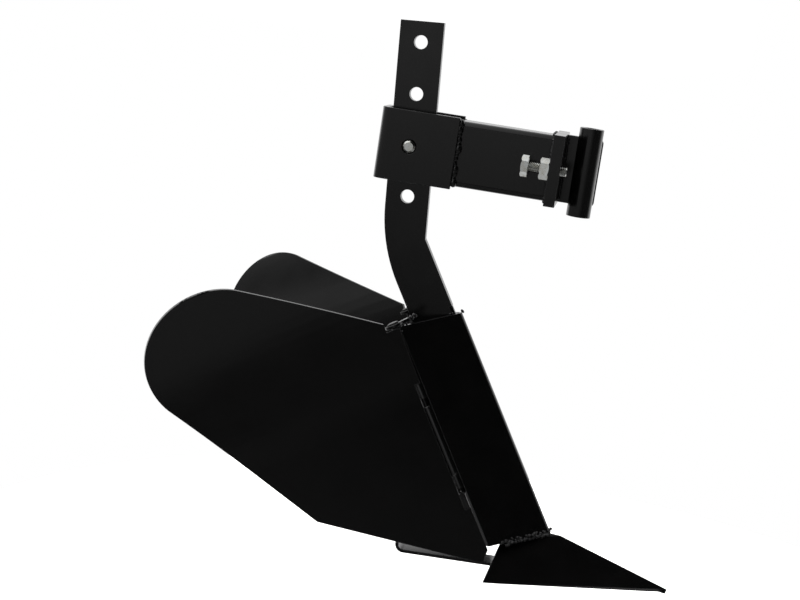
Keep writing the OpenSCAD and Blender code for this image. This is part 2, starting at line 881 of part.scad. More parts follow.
module wing_eyes_right() { wing_eyes(right); }
module wing_eyes_left() { wing_eyes(left); }

// Flat plate square to the hinge, with a slot along an arc about the hinge axis
module stay(side, z) {
    root_y = wing_off - wing_t / 2 - weld_gap;
    slot_w = clamp_d + slot_play;
    rim = clamp_reach + slot_w / 2 + stay_rim;
    far = 2 * rim;
    color("#1c1c1e")
        wing_frame(side)
            translate([0, 0, z])
                linear_extrude(stay_t)
                    difference() {
                        intersection() {
                            circle(r = rim);
                            polygon([
                                [stay_front, root_y], [stay_front + stay_root, root_y],
                                far * [cos(stay_turn + stay_spread), sin(stay_turn + stay_spread)],
                                far * [cos(stay_turn - stay_spread), sin(stay_turn - stay_spread)]
                            ]);
                        }
                        intersection() {
                            difference() {
                                circle(r = clamp_reach + slot_w / 2);
                                circle(r = clamp_reach - slot_w / 2);
                            }
                            polygon([
                                [0, 0],
                                far * [cos(stay_turn + stay_swing), sin(stay_turn + stay_swing)],
                                far * [cos(stay_turn - stay_swing), sin(stay_turn - stay_swing)]
                            ]);
                        }
                        for (s = [-1, 1])
                            rotate(stay_turn + s * stay_swing)
                                translate([clamp_reach, 0]) circle(d = slot_w);
                    }
}

module stay_right() { stay(right, stay_right_z); }
module stay_left() { stay(left, stay_left_z); }

pivot_tube();
cheek_plate();
hitch_flange();
drawbar_arm();
arm_weld();
shank_sleeve();
sleeve_weld();
depth_nut();
guide_boss_right();
guide_boss_left();
lock_nut_right();
lock_nut_left();
adjuster_bolt_right();
adjuster_bolt_left();
depth_bolt();
shank();
nose();
share();
heel_bracket();
top_lug_right();
top_lug_left();
hinge_barrel_right();
hinge_barrel_left();
hinge_pin_right();
hinge_pin_left();
split_pin_right();
split_pin_left();
clamp_bolt();
clamp_washer();
clamp_nut();
wing_right();
wing_left();
wing_eyes_right();
wing_eyes_left();
stay_right();
stay_left();
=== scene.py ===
import json
import math

import bmesh
import bpy
from mathutils import Matrix, Vector


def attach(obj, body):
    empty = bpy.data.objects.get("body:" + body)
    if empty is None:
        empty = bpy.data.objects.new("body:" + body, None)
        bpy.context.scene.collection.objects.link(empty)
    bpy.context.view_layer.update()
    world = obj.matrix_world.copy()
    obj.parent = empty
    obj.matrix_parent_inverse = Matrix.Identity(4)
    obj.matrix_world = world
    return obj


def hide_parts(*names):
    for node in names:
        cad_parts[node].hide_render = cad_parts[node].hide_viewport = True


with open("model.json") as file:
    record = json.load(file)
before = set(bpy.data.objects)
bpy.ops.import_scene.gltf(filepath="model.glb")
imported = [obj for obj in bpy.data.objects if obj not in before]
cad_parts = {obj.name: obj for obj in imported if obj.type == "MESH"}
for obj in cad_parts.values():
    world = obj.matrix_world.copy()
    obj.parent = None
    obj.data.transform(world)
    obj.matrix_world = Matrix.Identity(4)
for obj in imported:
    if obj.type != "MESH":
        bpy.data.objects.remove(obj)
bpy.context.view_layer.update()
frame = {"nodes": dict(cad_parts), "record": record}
mm = 0.001
sides = (("right", -1), ("left", 1))  # each side's name and its sign along Y


def at(x, y, z):  # a place in mm, as metres
    return Vector((x, y, z)) * mm


def shift(x, y, z):  # a move in mm
    return Matrix.Translation(at(x, y, z))


def onCircle(radius, turn, z):  # a point about the Z axis, sizes in mm
    return radius * mm * math.cos(turn), radius * mm * math.sin(turn), z * mm


def linear(hexColour):  # sRGB hex to the linear values that shaders take
    parts = [int(hexColour[i:i + 2], 16) / 255 for i in (1, 3, 5)]
    return [p / 12.92 if p <= 0.04045 else ((p + 0.055) / 1.055) ** 2.4 for p in parts] + [1.0]


def put(tree, kind, inputs=None, **settings):  # one node, its settings, and its values or links
    node = tree.nodes.new(kind)
    for name, value in settings.items():
        setattr(node, name, value)
    for name, value in (inputs or {}).items():
        if isinstance(value, bpy.types.NodeSocket):
            tree.links.new(value, node.inputs[name])
        else:
            node.inputs[name].default_value = value
    return node


def newMaterial(name):
    material = bpy.data.materials.new(name)
    material.use_nodes = True
    material.node_tree.nodes.clear()
    return material, material.node_tree


def newObject(name, data):
    thing = bpy.data.objects.new(name, data)
    bpy.context.scene.collection.objects.link(thing)
    return thing


noiseLow, noiseHigh = 0.3, 0.7  # most of a noise lies between these

# Sprayed semi-gloss enamel on steel plate: near black, soft wide reflections, faint orange peel,
# rounded edges painted a shade lighter in patches as a painted highlight, not wear
enamel = {
    # the lightest colour is a painted highlight for the rounded edges, not wear
    "deep": "#020202", "faded": "#040404", "paintedEdgeHighlight": "#3c3c3d",
    "specular": 0.25, "roughLow": 0.17, "roughHigh": 0.22, "bump": 0.12,
    "peel": 3.0, "peelDeep": 0.1,  # mm; drawn coarser than the real 1 mm so that it shows
    "wave": 70.0, "waveDeep": 0.5, "patch": 28.0, "edge": 0.7,  # mm
    "rimStart": 0.995, "rimFull": 0.85,  # cosine of the turn from the face to the rounded edge
}


def makeEnamel(name, look):
    material, tree = newMaterial(name)
    place = put(tree, "ShaderNodeTexCoord").outputs["Object"]
    noise = {}
    for key, detail in (("peel", 2.0), ("wave", 1.0), ("patch", 4.0)):
        values = {"Vector": place, "Scale": 1 / (look[key] * mm), "Detail": detail}
        noise[key] = put(tree, "ShaderNodeTexNoise", values).outputs["Fac"]
    rounded = put(tree, "ShaderNodeBevel", {"Radius": look["edge"] * mm}, samples=4).outputs["Normal"]
    flat = put(tree, "ShaderNodeNewGeometry").outputs["Normal"]
    facing = put(tree, "ShaderNodeVectorMath", {0: rounded, 1: flat}, operation="DOT_PRODUCT")
    rim = put(tree, "ShaderNodeMapRange", {
        "Value": facing.outputs["Value"], "From Min": look["rimStart"], "From Max": look["rimFull"]})
    # painted highlight: the rounded edges are lightened in patches toward the lightest colour
    paintedEdgeHighlight = put(tree, "ShaderNodeMath", {0: rim.outputs["Result"], 1: noise["patch"]}, operation="MULTIPLY")
    base = put(tree, "ShaderNodeMix", {
        "Factor": noise["patch"], "A": linear(look["deep"]), "B": linear(look["faded"])}, data_type="RGBA")
    colour = put(tree, "ShaderNodeMix", {
        "Factor": paintedEdgeHighlight.outputs[0], "A": base.outputs["Result"], "B": linear(look["paintedEdgeHighlight"])}, data_type="RGBA")
    rough = put(tree, "ShaderNodeMapRange", {
        "Value": noise["patch"], "From Min": noiseLow, "From Max": noiseHigh,
        "To Min": look["roughLow"], "To Max": look["roughHigh"]})
    normal = rounded
    for key in ("wave", "peel"):
        skin = put(tree, "ShaderNodeBump", {
            "Strength": look["bump"], "Distance": look[key + "Deep"] * mm, "Height": noise[key],
            "Normal": normal})
        normal = skin.outputs["Normal"]
    shader = put(tree, "ShaderNodeBsdfPrincipled", {
        "Base Color": colour.outputs["Result"], "Roughness": rough.outputs["Result"],
        "Specular IOR Level": look["specular"], "Normal": normal})
    put(tree, "ShaderNodeOutputMaterial", {"Surface": shader.outputs["BSDF"]})
    return material


blackEnamel = makeEnamel("sprayed_black_enamel", enamel)
# The same paint on drawn tube: wetter and smoother, so that long thin highlights run down it
tubeEnamel = makeEnamel("gloss_enamel_on_tube", dict(
    enamel, specular=0.6, roughLow=0.1, roughHigh=0.16, wave=30.0))
# The same paint run over a weld: thicker, wetter, with the bead's fine ripple under it
weldEnamel = makeEnamel("enamel_over_weld", dict(
    enamel, faded="#070708", specular=0.3, roughLow=0.12, roughHigh=0.24, peel=1.6, wave=6.0, patch=5.0))

# Bright zinc plate on turned and rolled steel: silvery, satin, a little blue and a little straw from
# the passivation
zinc = {
    "blue": "#a9afb4", "straw": "#b3afa2", "dull": "#7b7d7e", "roughLow": 0.12, "roughHigh": 0.3,
    "cloud": 4.0, "grit": 0.8, "gritDeep": 0.05, "bump": 0.2,  # mm, and the strength of the grit
    "spotStart": 0.58, "spotFull": 0.75, "spotMost": 0.6,  # dull spots where the grit is high
}


def makeZinc(name, look):
    material, tree = newMaterial(name)
    place = put(tree, "ShaderNodeTexCoord").outputs["Object"]
    noise = {}
    for key, detail in (("cloud", 3.0), ("grit", 2.0)):
        values = {"Vector": place, "Scale": 1 / (look[key] * mm), "Detail": detail}
        noise[key] = put(tree, "ShaderNodeTexNoise", values).outputs["Fac"]
    tint = put(tree, "ShaderNodeMix", {
        "Factor": noise["cloud"], "A": linear(look["blue"]), "B": linear(look["straw"])}, data_type="RGBA")
    spots = put(tree, "ShaderNodeMapRange", {
        "Value": noise["grit"], "From Min": look["spotStart"], "From Max": look["spotFull"],
        "To Max": look["spotMost"]})
    colour = put(tree, "ShaderNodeMix", {
        "Factor": spots.outputs["Result"], "A": tint.outputs["Result"], "B": linear(look["dull"])},
        data_type="RGBA")
    rough = put(tree, "ShaderNodeMapRange", {
        "Value": noise["cloud"], "From Min": noiseLow, "From Max": noiseHigh,
        "To Min": look["roughLow"], "To Max": look["roughHigh"]})
    skin = put(tree, "ShaderNodeBump", {
        "Strength": look["bump"], "Distance": look["gritDeep"] * mm, "Height": noise["grit"]})
    shader = put(tree, "ShaderNodeBsdfPrincipled", {
        "Base Color": colour.outputs["Result"], "Metallic": 1.0, "Roughness": rough.outputs["Result"],
        "Normal": skin.outputs["Normal"]})
    put(tree, "ShaderNodeOutputMaterial", {"Surface": shader.outputs["BSDF"]})
    return material


zincPlate = makeZinc("bright_zinc_plate", zinc)
print("finishes made")


# smooth across edges of up to limit degrees, or with 0 as the mesh comes
def keep(name, mesh, material, body, nodes=(), limit=32):
    mesh.materials.clear()
    mesh.materials.append(material)
    piece = newObject(name, mesh)
    if limit:
        mesh.shade_smooth()
        mesh.set_sharp_from_angle(angle=math.radians(limit))
    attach(piece, body)
    if nodes:
        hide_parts(*nodes)
    return piece


def baked(holder):  # the evaluated result as a plain mesh, the holder removed
    graph = bpy.context.evaluated_depsgraph_get()
    mesh = bpy.data.meshes.new_from_object(holder.evaluated_get(graph))
    bpy.data.objects.remove(holder)
    return mesh


# plates, bars and tubes: the frame's own shapes with eased edges
plates = {  # edge radius in mm, 0 where the shape already has its edges
    "pivot_tube": 0.6, "cheek_plate": 0.6, "hitch_flange": 0.7, "drawbar_arm": 0.4, "shank_sleeve": 0.6,
    "guide_boss_right": 0.4, "guide_boss_left": 0.4, "shank": 0.7, "nose": 0.0, "share": 0.3,
    "heel_bracket": 0.2, "top_lug_right": 0.5, "top_lug_left": 0.5,
    "hinge_barrel_right": 0.4, "hinge_barrel_left": 0.4, "wing_right": 0.0, "wing_left": 0.0,
    "wing_eyes_right": 0.4, "wing_eyes_left": 0.4, "stay_right": 0.5, "stay_left": 0.5,
}
ease = {
    "segments": 2, "bevelFrom": 40, "sharpFrom": 28, "flatTo": 0.2, "weight": 80,  # angles in degrees
    "seam": 0.002, "wingSeam": 0.08,  # mm; the wider one closes the step where a wing's roll starts
}
bodyOf = {node: body for body, nodes in frame["record"]["behaviour"]["bodies"].items() for node in nodes}


def easePlate(node, edge):
    shape = bmesh.new()
    shape.from_mesh(frame["nodes"][node].data)
    seam = ease["wingSeam"] if node in ("wing_right", "wing_left") else ease["seam"]
    bmesh.ops.remove_doubles(shape, verts=shape.verts[:], dist=seam * mm)
    if edge:
        bmesh.ops.dissolve_limit(shape, angle_limit=math.radians(ease["flatTo"]), verts=shape.verts[:],
                                 edges=shape.edges[:])
    mesh = bpy.data.meshes.new(node + "_eased")
    shape.to_mesh(mesh)
    shape.free()
    mesh.shade_smooth()
    mesh.set_sharp_from_angle(angle=math.radians(ease["sharpFrom"]))
    holder = newObject("holder", mesh)
    if edge:
        bevel = holder.modifiers.new("ease", "BEVEL")
        bevel.width = edge * mm
        bevel.segments = ease["segments"]
        bevel.limit_method = "ANGLE"
        bevel.angle_limit = math.radians(ease["bevelFrom"])
    weighted = holder.modifiers.new("weighted", "WEIGHTED_NORMAL")
    weighted.keep_sharp = True
    weighted.weight = ease["weight"]
    return baked(holder)


for node, edge in plates.items():
    paint = tubeEnamel if node.startswith(("hinge_barrel", "wing_eyes")) else blackEnamel
    keep(node + "_eased", easePlate(node, edge), paint, bodyOf[node], [node], limit=0)
print("plates eased:", len(plates))


# bolts, nuts and pins
mergeGap = 0.001  # mm


def shellMesh(name, shells, place):
    verts, faces = [], []
    for shellVerts, shellFaces in shells:
        start = len(verts)
        verts += [place @ Vector(v) for v in shellVerts]
        faces += [[i + start for i in face] for face in shellFaces]
    mesh = bpy.data.meshes.new(name)
    mesh.from_pydata(verts, [], faces)
    shape = bmesh.new()
    shape.from_mesh(mesh)
    bmesh.ops.remove_doubles(shape, verts=shape.verts[:], dist=mergeGap * mm)
    bmesh.ops.recalc_face_normals(shape, faces=shape.faces[:])
    shape.to_mesh(mesh)
    shape.free()
    return mesh


def skinRound(outlines, hollow):  # outlines stand round an axis, the last one meets the first
    count = len(outlines[0])
    faces = []
    for i in range(len(outlines)):
        a, b = i * count, (i + 1) % len(outlines) * count
        for k in range(count if hollow else count - 1):
            n = (k + 1) % count
            faces.append([a + k, b + k, b + n, a + n])
    return [v for outline in outlines for v in outline], faces


def skinAlong(loops):  # closed loops follow each other, both ends are capped
    steps = len(loops[0])
    verts = [v for loop in loops for v in loop]
    faces = []
    for k in range(len(loops) - 1):
        a, b = k * steps, (k + 1) * steps
        for i in range(steps):
            n = (i + 1) % steps
            faces.append([a + i, a + n, b + n, b + i])
    faces.append(list(range(steps))[::-1])
    faces.append([len(verts) - steps + i for i in range(steps)])
    return verts, faces


def turned(profile, hollow=False, steps=48):  # (radius, height) pairs in mm, spun about Z
    turns = [2 * math.pi * i / steps for i in range(steps)]
    return skinRound([[onCircle(r, turn, z) for r, z in profile] for turn in turns], hollow)


hexagon = {"crownShare": 0.95, "chamfer": 30, "steps": 72}  # crown of half the flats; degrees


def hexBody(flats, low, high, bore=0.0, easeLow=True):  # hexagon with its corners turned off
    half = flats / 2
    crown = half * hexagon["crownShare"]
    outlines = []
    for i in range(hexagon["steps"]):
        turn = math.radians(360 * i / hexagon["steps"])
        reach = half / math.cos(turn % (math.pi / 3) - math.pi / 6)
        drop = (reach - crown) * math.tan(math.radians(hexagon["chamfer"]))
        foot = [(crown, low), (reach, low + drop)] if easeLow else [(reach, low), (reach, low)]
        outline = [(bore, low)] + foot + [(reach, high - drop), (crown, high), (bore, high)]
        outlines.append([onCircle(r, turn, z) for r, z in outline])
    return skinRound(outlines, hollow=bore > 0)


thread = {"depthShare": 0.55, "slices": 4, "steps": 36}  # depth of the pitch; slices in one pitch


def threadBody(outer, pitch, length, lead):  # one-start thread with a tapered tip of length lead
    depth = thread["depthShare"] * pitch
    count = int(length / pitch * thread["slices"])
    loops = []
    for k in range(count + 1):
        z = length * k / count
        loop = []
        for i in range(thread["steps"]):
            phase = (z / pitch - i / thread["steps"]) % 1.0
            tooth = abs(phase * 2 - 1)
            r = outer - depth * (1 - tooth)
            if z < lead:
                r = min(r, outer - lead + z)
            loop.append(onCircle(r, 2 * math.pi * i / thread["steps"], z))
        loops.append(loop)
    return skinAlong(loops)


adjuster = {  # mm, along the bolt from its tip; face is the thin disc under the head
    "tip": -15.3, "side": 33.0, "thread": 4.98, "pitch": 1.5, "length": 35.0, "lead": 1.2,
    "flats": 17.0, "head": 6.5, "faceHigh": 0.4, "faceInto": 0.1, "faceShare": 0.47, "coreShare": 0.5,
}
lockNut = {"x": -40.0, "flats": 17.0, "height": 9.0, "bore": 5.2, "turn": 4}  # mm and degrees
alongFront = Matrix.Rotation(math.pi / 2, 4, "Y")  # +Z of a bolt or nut turned to +X
alongRear = Matrix.Rotation(-math.pi / 2, 4, "Y")
alongLeft = Matrix.Rotation(-math.pi / 2, 4, "X")  # turned to +Y

for sideName, side in sides:
    bolt, nut = adjuster, lockNut
    place = shift(bolt["tip"], side * bolt["side"], 0) @ alongRear
    core, face = bolt["thread"] * bolt["coreShare"], bolt["flats"] * bolt["faceShare"]
    low, high = bolt["length"] - bolt["faceHigh"], bolt["length"] + bolt["faceInto"]
    shells = [threadBody(bolt["thread"], bolt["pitch"], bolt["length"], bolt["lead"]),
              turned([(core, low), (face, low), (face, high), (core, high)], hollow=True),
              hexBody(bolt["flats"], bolt["length"], bolt["length"] + bolt["head"], easeLow=False)]
    keep("adjuster_bolt_" + sideName + "_zinc", shellMesh("adjuster", shells, place), zincPlate,
         "adjuster_" + sideName, ["adjuster_bolt_" + sideName])
    spun = Matrix.Rotation(math.radians(nut["turn"] * side), 4, "Z")
    place = shift(nut["x"], side * bolt["side"], 0) @ alongFront @ spun
    shells = [hexBody(nut["flats"], 0, nut["height"], nut["bore"])]
    keep("lock_nut_" + sideName + "_zinc", shellMesh("lockNut", shells, place), zincPlate, "drawbar",
         ["lock_nut_" + sideName])

depthBolt = {  # mm, along the bolt from its tip: thread, then the plain shank from a small neck
    "x": -160.0, "tip": -27.0, "thread": 5.98, "pitch": 1.75, "lead": 2.0, "plain": 24.0,
    "neck": 5.9, "neckLong": 0.5, "length": 62.3, "flats": 18.0, "head": 7.5,
}
depthNut = {"y": 25.0, "flats": 18.0, "height": 10.0, "bore": 6.2}
bolt, nut = depthBolt, depthNut
place = shift(bolt["x"], bolt["tip"], 0) @ alongLeft
neckLow = bolt["plain"] - bolt["neckLong"]
shells = [threadBody(bolt["thread"], bolt["pitch"], bolt["plain"], bolt["lead"]),
          turned([(0.0, neckLow), (bolt["neck"], neckLow), (bolt["thread"], bolt["plain"]),
                  (bolt["thread"], bolt["length"]), (0.0, bolt["length"])]),
          hexBody(bolt["flats"], bolt["length"], bolt["length"] + bolt["head"], easeLow=False)]
keep("depth_bolt_zinc", shellMesh("depthBolt", shells, place), zincPlate, "depth_pin",
     ["depth_bolt"])
place = shift(bolt["x"], nut["y"], 0) @ alongLeft
shells = [hexBody(nut["flats"], 0, nut["height"], nut["bore"], easeLow=False)]
keep("depth_nut_zinc", shellMesh("depthNut", shells, place), zincPlate, "drawbar", ["depth_nut"])
print("bolts and nuts made")

# nose frame: origin at the top of the nose's front corner, Z up along that corner
nose = {"x": -88.535, "z": -145.026, "rake": 30.8, "length": 222.4, "half": 52.3, "cut": 15.0, "foot": 20.0}
noseFrame = shift(nose["x"], 0, nose["z"]) @ Matrix.Rotation(-math.radians(nose["rake"]), 4, "Y")


def inNose(x, y, z):
    return noseFrame @ at(x, y, z)


# hinge pins and their split pins, mm in the nose frame
hinge = {"x": -57.626, "y": 48.826}
hingePin = {
    "thick": 6.0, "top": 17.83, "low": -149.2, "tipIn": 0.7, "tipLong": 0.9,
    "head": 10.5, "headHigh": 2.0, "headEase": 0.3, "domeFrom": 0.9, "domeSteps": 6,
}
for sideName, side in sides:
    pin = hingePin
    r, head, top, low = pin["thick"] / 2, pin["head"] / 2, pin["top"], pin["low"]
    domeHigh = pin["headHigh"] - pin["domeFrom"]
    turns = [math.pi / 2 * k / pin["domeSteps"] for k in range(pin["domeSteps"])]
    stem = [(0.0, low), (r - pin["tipIn"], low), (r, low + pin["tipLong"]), (r, top)]
    rim = [(head - pin["headEase"], top), (head, top + pin["headEase"])]
    dome = [(head * math.cos(t), top + pin["domeFrom"] + domeHigh * math.sin(t)) for t in turns]
    shell = turned(stem + rim + dome + [(0.0, top + pin["headHigh"])])
    place = noseFrame @ shift(hinge["x"], side * hinge["y"], 0)
    keep("hinge_pin_" + sideName + "_painted", shellMesh("hingePin", [shell], place), blackEnamel, "ridger",
         ["hinge_pin_" + sideName])


def tubeAlong(points, radius, steps=12):  # round wire through a list of points, ends closed
    turns = [2 * math.pi * i / steps for i in range(steps)]
    loops = []
    for k, p in enumerate(points):
        ahead = (points[min(k + 1, len(points) - 1)] - points[max(k - 1, 0)]).normalized()
        sideways = ahead.cross(Vector((0, 0, 1))).normalized()
        over = sideways.cross(ahead)
        loops.append([p + radius * (math.cos(turn) * sideways + math.sin(turn) * over) for turn in turns])
    return skinAlong(loops)


splitWire = {  # mm; up is above the hinge pin's lower end, out is how far the legs stand past the pin's axis
    "up": 3.0, "long": 18.0, "out": 5.0, "radius": 0.48, "leg": 0.5, "splay": 0.95, "splayLong": 1.6,
    "neck": 1.0, "eye": 2.0, "eyeFrom": -60, "eyeTurn": 300, "eyeSteps": 12,
}


def splitPin(side):  # one bent wire: a leg, an eye at the inner end, and the second leg back
    wire = splitWire
    z = hingePin["low"] + wire["up"]
    inner = wire["long"] - wire["out"]
    leg = [(wire["splay"], -wire["out"]), (wire["leg"], -wire["out"] + wire["splayLong"]), (wire["leg"], 0),
           (wire["leg"], inner - wire["neck"])]
    steps, reach = wire["eyeSteps"], wire["eye"]
    turns = [math.radians(wire["eyeFrom"] + wire["eyeTurn"] * k / steps) for k in range(steps + 1)]
    eye = [(reach * math.cos(turn), inner + reach + reach * math.sin(turn)) for turn in turns]
    eye[0] = (wire["leg"], eye[0][1])
    eye[-1] = (-wire["leg"], eye[-1][1])
    path = leg + eye + [(-x, y) for x, y in reversed(leg)]
    points = [inNose(hinge["x"] + x, side * (hinge["y"] - y), z) for x, y in path]
    return tubeAlong(points, wire["radius"] * mm)


for sideName, side in sides:
    mesh = shellMesh("splitPin", [splitPin(side)], Matrix.Identity(4))
    keep("split_pin_" + sideName + "_zinc", mesh, zincPlate, "ridger", ["split_pin_" + sideName],
         limit=50)

# clamp of the stays on the heel bracket's tab, mm in the nose frame
clampBolt = {"x": -95.34, "under": -143.0, "thread": 3.98, "pitch": 1.25, "lead": 1.0, "flats": 13.0,
             "head": 5.3, "proud": 2.0}
clampWasher = {"low": -131.1, "high": 2.0, "out": 11.0, "bore": 4.2, "ease": 0.2, "lowEase": 0.4}
clampNut = {"height": 6.8, "bore": 4.2, "turn": 17}  # mm and degrees
bolt, washer, nut = clampBolt, clampWasher, clampNut
tipUp = washer["low"] + washer["high"] + nut["height"] + bolt["proud"]
length = tipUp - bolt["under"]
place = noseFrame @ shift(bolt["x"], 0, tipUp) @ Matrix.Rotation(math.pi, 4, "X")
shells = [threadBody(bolt["thread"], bolt["pitch"], length, bolt["lead"]),
          hexBody(bolt["flats"], length, length + bolt["head"], easeLow=False)]
keep("clamp_bolt_zinc", shellMesh("clampBolt", shells, place), zincPlate, "ridger", ["clamp_bolt"])
seat = noseFrame @ shift(bolt["x"], 0, washer["low"])
out, bore, high, soft = washer["out"], washer["bore"], washer["high"], washer["ease"]
washerRing = turned([
    (bore, soft), (bore + soft, 0), (out - washer["lowEase"], 0), (out, washer["lowEase"]),
    (out, high - soft), (out - soft, high), (bore + soft, high), (bore, high - soft)], hollow=True)
keep("clamp_washer_zinc", shellMesh("clampWasher", [washerRing], seat), zincPlate, "ridger",
     ["clamp_washer"])
place = seat @ shift(0, 0, high) @ Matrix.Rotation(math.radians(nut["turn"]), 4, "Z")
shells = [hexBody(bolt["flats"], 0, nut["height"], nut["bore"])]
keep("clamp_nut_zinc", shellMesh("clampNut", shells, place), zincPlate, "ridger", ["clamp_nut"])
print("hinge pins, split pins and clamp made")

# weld beads: overlapping ripples along each joint
bead = {
    "pitch": 1.5, "jitter": 0.22,  # mm
    "thin": 0.62, "least": 0.75, "most": 1.2,  # a ripple's length and the spread of its size, as shares
    "segments": 12, "rings": 8,
}


def beadTree():
    tree = bpy.data.node_groups.new("weldBead", "GeometryNodeTree")
    sockets = {"Path": "Geometry", "Pitch": "Float", "Thinness": "Float", "Jitter": "Float", "Seed": "Int",
               "Finish": "Material"}
    for label, kind in sockets.items():
        tree.interface.new_socket(label, in_out="INPUT", socket_type="NodeSocket" + kind)
    tree.interface.new_socket("Bead", in_out="OUTPUT", socket_type="NodeSocketGeometry")
    given = put(tree, "NodeGroupInput").outputs
    curve = put(tree, "GeometryNodeMeshToCurve", {"Mesh": given["Path"]})
    even = put(tree, "GeometryNodeResampleCurve", {
        "Curve": curve.outputs["Curve"], "Length": given["Pitch"]}, mode="LENGTH")
    width = put(tree, "GeometryNodeInputNamedAttribute", {"Name": "beadRadius"}, data_type="FLOAT")
    spread = put(tree, "FunctionNodeRandomValue", {2: bead["least"], 3: bead["most"], "Seed": given["Seed"]},
                 data_type="FLOAT")
    low = put(tree, "ShaderNodeMath", {0: given["Jitter"], 1: -1.0}, operation="MULTIPLY")
    lowest = put(tree, "ShaderNodeCombineXYZ", {axis: low.outputs[0] for axis in "XYZ"})
    highest = put(tree, "ShaderNodeCombineXYZ", {axis: given["Jitter"] for axis in "XYZ"})
    offset = put(tree, "FunctionNodeRandomValue", {
        0: lowest.outputs[0], 1: highest.outputs[0], "Seed": given["Seed"]}, data_type="FLOAT_VECTOR")
    moved = put(tree, "GeometryNodeSetPosition", {
        "Geometry": even.outputs["Curve"], "Offset": offset.outputs[0]})
    tangent = put(tree, "GeometryNodeInputTangent")
    lean = put(tree, "FunctionNodeAlignRotationToVector", {"Vector": tangent.outputs["Tangent"]}, axis="Z")
    ripple = put(tree, "GeometryNodeMeshUVSphere", {
        "Segments": bead["segments"], "Rings": bead["rings"], "Radius": 1.0})
    across = put(tree, "ShaderNodeMath", {0: width.outputs[0], 1: spread.outputs[1]}, operation="MULTIPLY")
    along = put(tree, "ShaderNodeMath", {0: across.outputs[0], 1: given["Thinness"]}, operation="MULTIPLY")
    scale = put(tree, "ShaderNodeCombineXYZ", {
        "X": across.outputs[0], "Y": across.outputs[0], "Z": along.outputs[0]})
    laid = put(tree, "GeometryNodeInstanceOnPoints", {
        "Points": moved.outputs["Geometry"], "Instance": ripple.outputs["Mesh"],
        "Rotation": lean.outputs["Rotation"], "Scale": scale.outputs[0]})
    real = put(tree, "GeometryNodeRealizeInstances", {"Geometry": laid.outputs["Instances"]})
    painted = put(tree, "GeometryNodeSetMaterial", {
        "Geometry": real.outputs["Geometry"], "Material": given["Finish"]})
    put(tree, "NodeGroupOutput", {"Bead": painted.outputs["Geometry"]})
    return tree


weldTree = beadTree()


# each path is a radius in mm and points in metres
def layBeads(name, body, paths, seed, nodes=(), finish=weldEnamel, pitch=bead["pitch"],
             jitter=bead["jitter"], thin=bead["thin"]):
    verts, edges, radii = [], [], []
    for radius, points in paths:
        start = len(verts)
        verts += points
        radii += [radius * mm] * len(points)
        edges += [(start + i, start + i + 1) for i in range(len(points) - 1)]
    mesh = bpy.data.meshes.new(name + "_path")
    mesh.from_pydata(verts, edges, [])
    mesh.attributes.new("beadRadius", "FLOAT", "POINT").data.foreach_set("value", radii)
    holder = newObject("holder", mesh)
    grown = holder.modifiers.new("beads", "NODES")
    grown.node_group = weldTree
    values = {"Pitch": pitch * mm, "Thinness": thin, "Jitter": jitter * mm, "Seed": seed, "Finish": finish}
    for socket in weldTree.interface.items_tree:
        if socket.in_out == "INPUT" and socket.name in values:
            grown[socket.identifier] = values[socket.name]
    piece = keep(name, baked(holder), finish, body, nodes, limit=80)
    print(name, len(piece.data.polygons), "faces")


def row(start, end, count=7):  # even points between two places in mm
    return [Vector(start).lerp(Vector(end), i / (count - 1)) * mm for i in range(count)]


def upright(x, y, high):  # a row as far below Z 0 as above it
    return row((x, y, -high), (x, y, high))


# drawbar, mm: the arm on the flange, the sleeve on the arm, the tube and the cheek plate, the depth nut
armBead = {"radius": 1.7, "x": -32.0, "wide": 16.0, "top": 30.6, "side": 20.5, "high": 26.0}
weld = armBead
x, wide = weld["x"], weld["wide"]
paths = [(weld["radius"], row((x, -wide, z), (x, wide, z))) for z in (weld["top"], -weld["top"])]
paths += [(weld["radius"], upright(x, y, weld["high"])) for y in (-weld["side"], weld["side"])]
layBeads("arm_weld_bead", "drawbar", paths, seed=11, nodes=["arm_weld"])

sleeveBead = {"radius": 3.0, "x": -116.4, "side": 21.2, "high": 27.0}
sleeveRipple = {"pitch": 4.5, "jitter": 0.8, "thin": 1.3}
weld = sleeveBead
paths = [(weld["radius"], upright(weld["x"], y, weld["high"])) for y in (-weld["side"], weld["side"])]
layBeads("sleeve_weld_bead", "drawbar", paths, seed=12, nodes=["sleeve_weld"], finish=blackEnamel,
         **sleeveRipple)

hitchBeads = (  # radius, height each way, and the places in plan
    {"radius": 1.7, "high": 29.0, "plan": ((-7.0, 9.9), (7.0, 9.9))},
    {"radius": 1.7, "high": 28.0, "plan": ((-20.4, 10.8), (-20.4, 19.3))},
)
nutBead = {"radius": 1.5, "y": 25.4, "ring": 10.2, "step": 20, "count": 13}  # step in degrees
paths = [(weld["radius"], upright(x, y, weld["high"])) for weld in hitchBeads for x, y in weld["plan"]]
weld = nutBead
turns = [math.radians(weld["step"] * k) for k in range(weld["count"])]
x, ring = depthBolt["x"], weld["ring"]
nutRing = [at(x + ring * math.cos(turn), weld["y"], ring * math.sin(turn)) for turn in turns]
paths.append((weld["radius"], nutRing))
layBeads("hitch_weld_bead", "drawbar", paths, seed=13)


# ridger: shank in nose, lugs, barrels, the nose's top corner, and the nose on the share
def noseFloor(x):  # lower cut of the nose, in the nose frame
    return -nose["length"] - x * math.tan(math.radians(nose["foot"]))


def noseRoof(x):
    return -x * math.tan(math.radians(nose["cut"]))


